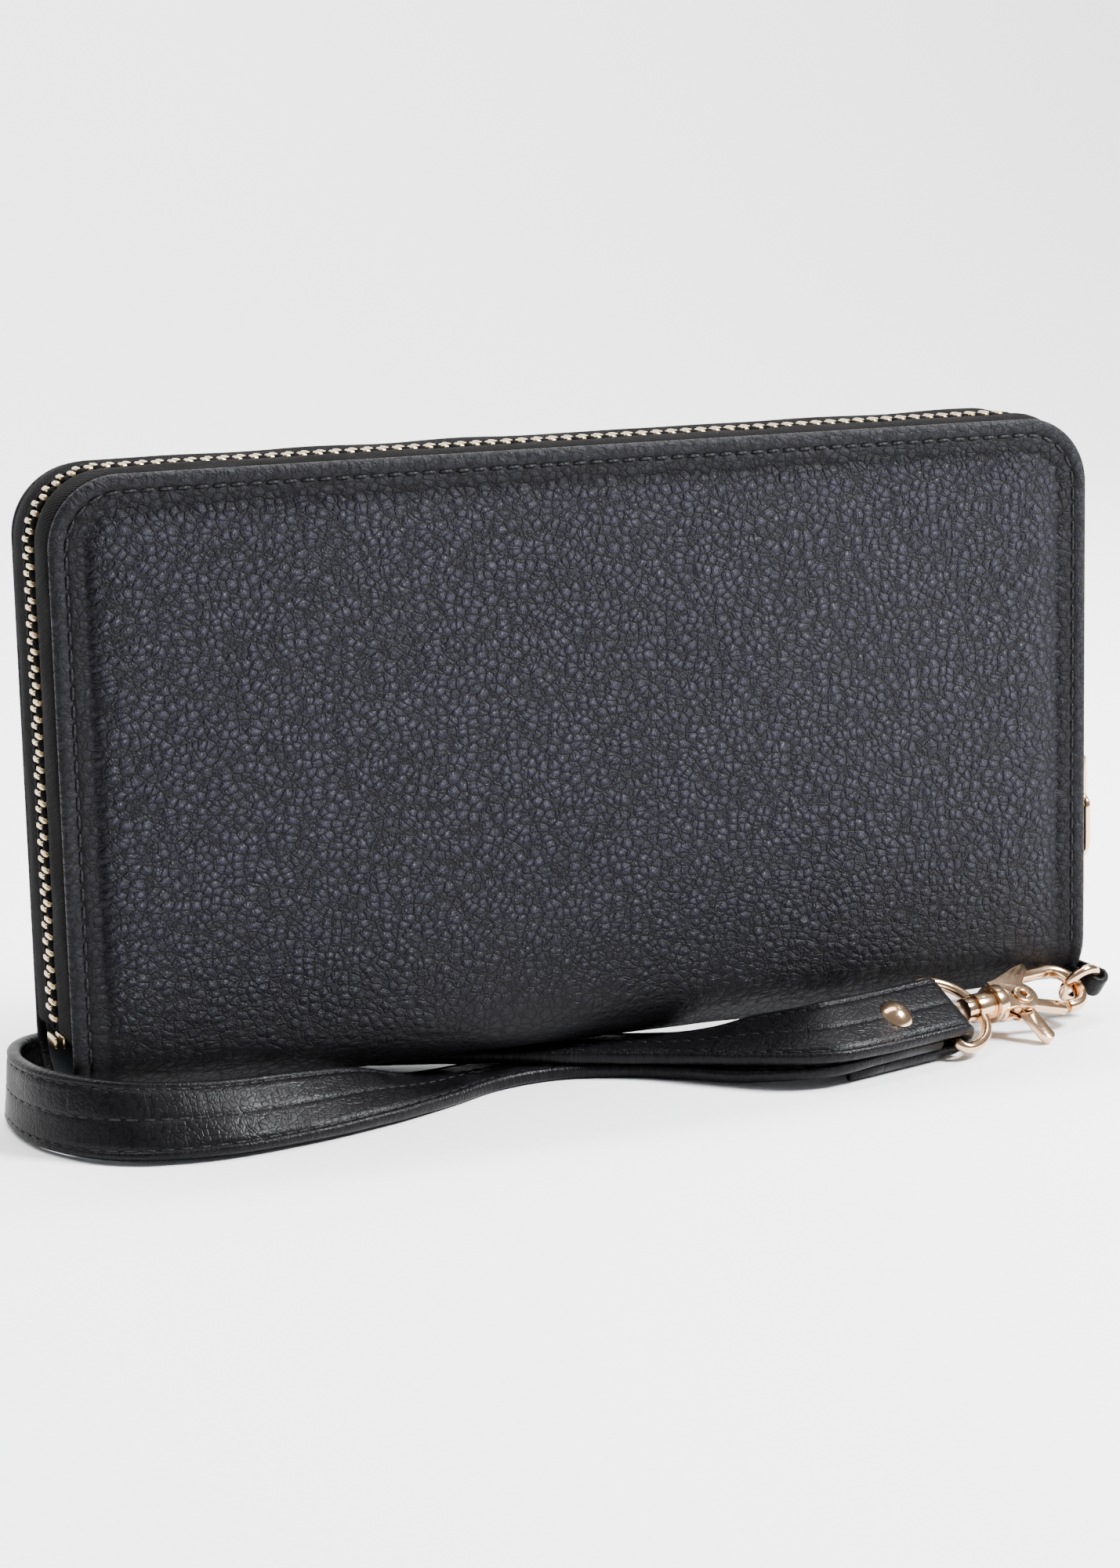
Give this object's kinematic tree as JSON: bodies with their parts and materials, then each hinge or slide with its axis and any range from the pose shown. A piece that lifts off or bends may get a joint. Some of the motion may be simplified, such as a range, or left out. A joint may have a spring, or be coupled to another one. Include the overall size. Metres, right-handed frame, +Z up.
{
  "type": "zip around wallet",
  "caption": "Long zip around wallet in pebbled black leather with gold zip and a clip-on wrist strap, standing on its spine.",
  "frame": {"origin": "on the table, under the middle of the whole object's box, strap included; the spine stands 5.4 mm above it on the strap", "axes": "+X along the wallet towards the zip's closed end, -Y out of the front cover, +Z up from the spine to the top edge"},
  "size_m": [0.2052, 0.0654, 0.111],
  "materials": {
    "cover_leather": "pebbled, satin",
    "strap_leather": "smooth, glossy",
    "slot_leather": "fine grain, satin",
    "foam": "soft foam",
    "board": "pressed fibre board",
    "lining_cloth": "woven, matte",
    "zip_cloth": "woven twill tape",
    "teeth_metal": "polished pale gold",
    "gold_metal": "polished pale rose gold",
    "spring_steel": "bright wire"
  },
  "bodies": {
    "back_half": {"back_cover": "cover_leather", "back_padding": "foam", "back_board": "board", "back_lining": "lining_cloth", "back_card_slot_1": "slot_leather", "back_card_slot_2": "slot_leather", "back_card_slot_3": "slot_leather", "back_card_slot_4": "slot_leather", "spine_leather": "cover_leather", "spine_lining": "lining_cloth", "gusset_left": "lining_cloth", "gusset_right": "lining_cloth", "zip_tape_rear": "zip_cloth", "zip_tape_ends": "zip_cloth", "zip_teeth_rear": "teeth_metal", "zip_stops_rear": "gold_metal", "side_tab": "cover_leather", "strap": "strap_leather", "strap_rivet_cap": "gold_metal", "strap_rivet_post": "gold_metal"},
    "front_half": {"front_cover": "cover_leather", "front_padding": "foam", "front_board": "board", "front_lining": "lining_cloth", "front_card_slot_1": "slot_leather", "front_card_slot_2": "slot_leather", "front_card_slot_3": "slot_leather", "front_card_slot_4": "slot_leather", "zip_tape_front": "zip_cloth", "zip_teeth_front": "teeth_metal", "zip_stop_front": "gold_metal"},
    "divider_front_leaf": {"divider_front": "lining_cloth"},
    "divider_rear_leaf": {"divider_rear": "lining_cloth"},
    "coin_pocket": {"coin_pocket_front": "lining_cloth", "coin_pocket_rear": "lining_cloth", "coin_zip_tape": "zip_cloth", "coin_zip_teeth": "teeth_metal"},
    "coin_slider": {"coin_zip_slider": "gold_metal"},
    "coin_pull": {"coin_zip_pull": "gold_metal"},
    "zip_slider": {"zip_slider": "gold_metal"},
    "pull_ring": {"pull_ring": "gold_metal"},
    "pull_tab": {"pull_tab": "gold_metal"},
    "side_ring": {"side_ring": "gold_metal"},
    "strap_ring": {"strap_ring": "gold_metal"},
    "clasp": {"clasp_body": "gold_metal", "gate_pin": "gold_metal", "gate_spring": "spring_steel"},
    "gate": {"clasp_gate": "gold_metal"}
  },
  "joints": [
    {"name": "wallet_open", "type": "hinge", "parent": "back_half", "child": "front_half", "pos_m": [0.00039, -0.00682, 0.0176], "axis": [1, 0, 0], "range_deg": [0, 50], "deforming": ["gusset_left", "gusset_right", "zip_teeth_front"]},
    {"name": "divider_front_fold", "type": "hinge", "parent": "back_half", "child": "divider_front_leaf", "pos_m": [0.00039, 0.00273, 0.0104], "axis": [1, 0, 0], "range_deg": [0, 30]},
    {"name": "coin_pocket_fold", "type": "hinge", "parent": "back_half", "child": "coin_pocket", "pos_m": [0.00039, 0.00638, 0.0104], "axis": [1, 0, 0], "range_deg": [0, 20]},
    {"name": "divider_rear_fold", "type": "hinge", "parent": "back_half", "child": "divider_rear_leaf", "pos_m": [0.00039, 0.01003, 0.0104], "axis": [1, 0, 0], "range_deg": [0, 10]},
    {"name": "zip_slide", "type": "slide", "parent": "back_half", "child": "zip_slider", "axis": [0, 0, 1], "range_m": [0, 0.045], "deforming": ["zip_teeth_front", "zip_teeth_rear"]},
    {"name": "pull_ring_swing", "type": "hinge", "parent": "zip_slider", "child": "pull_ring", "pos_m": [0.10089, 0.00638, 0.0388], "axis": [0, -1, 0], "range_deg": [0, 120]},
    {"name": "pull_tab_swing", "type": "hinge", "parent": "pull_ring", "child": "pull_tab", "pos_m": [0.10089, 0.00638, 0.0288], "axis": [0, -1, 0], "range_deg": [-15, 110]},
    {"name": "coin_zip_slide", "type": "slide", "parent": "coin_pocket", "child": "coin_slider", "axis": [-1, 0, 0], "range_m": [0, 0.125], "deforming": ["coin_zip_teeth"]},
    {"name": "coin_pull_swing", "type": "hinge", "parent": "coin_slider", "child": "coin_pull", "pos_m": [0.07039, 0.00638, 0.0927], "axis": [0, 1, 0], "range_deg": [0, 55]},
    {"name": "side_ring_swing", "type": "hinge", "parent": "back_half", "child": "side_ring", "pos_m": [0.09643, -0.00776, 0.00695], "axis": [0.1581, -0.5514, 0.8192], "range_deg": [-8, 8]},
    {"name": "strap_ring_swing", "type": "hinge", "parent": "back_half", "child": "strap_ring", "pos_m": [0.05832, -0.01869, 0.00695], "axis": [0.2258, -0.7874, -0.5736], "range_deg": [0, 1.2]},
    {"name": "clasp_swivel", "type": "hinge", "parent": "strap_ring", "child": "clasp", "pos_m": [0.07062, -0.01516, 0.00695], "axis": [0.9613, 0.2756, 0], "range_deg": [-12, 12]},
    {"name": "gate_open", "type": "hinge", "parent": "clasp", "child": "gate", "pos_m": [0.07734, -0.01392, 0.00649], "axis": [0.1581, -0.5514, 0.8192], "range_deg": [0, 22], "stiffness_Nm_per_rad": 0.01, "springref_deg": -17.19}
  ],
  "couplings": [
    {"joint": "divider_front_fold", "follows": "wallet_open", "ratio": 0.6},
    {"joint": "coin_pocket_fold", "follows": "wallet_open", "ratio": 0.4},
    {"joint": "divider_rear_fold", "follows": "wallet_open", "ratio": 0.2}
  ]
}
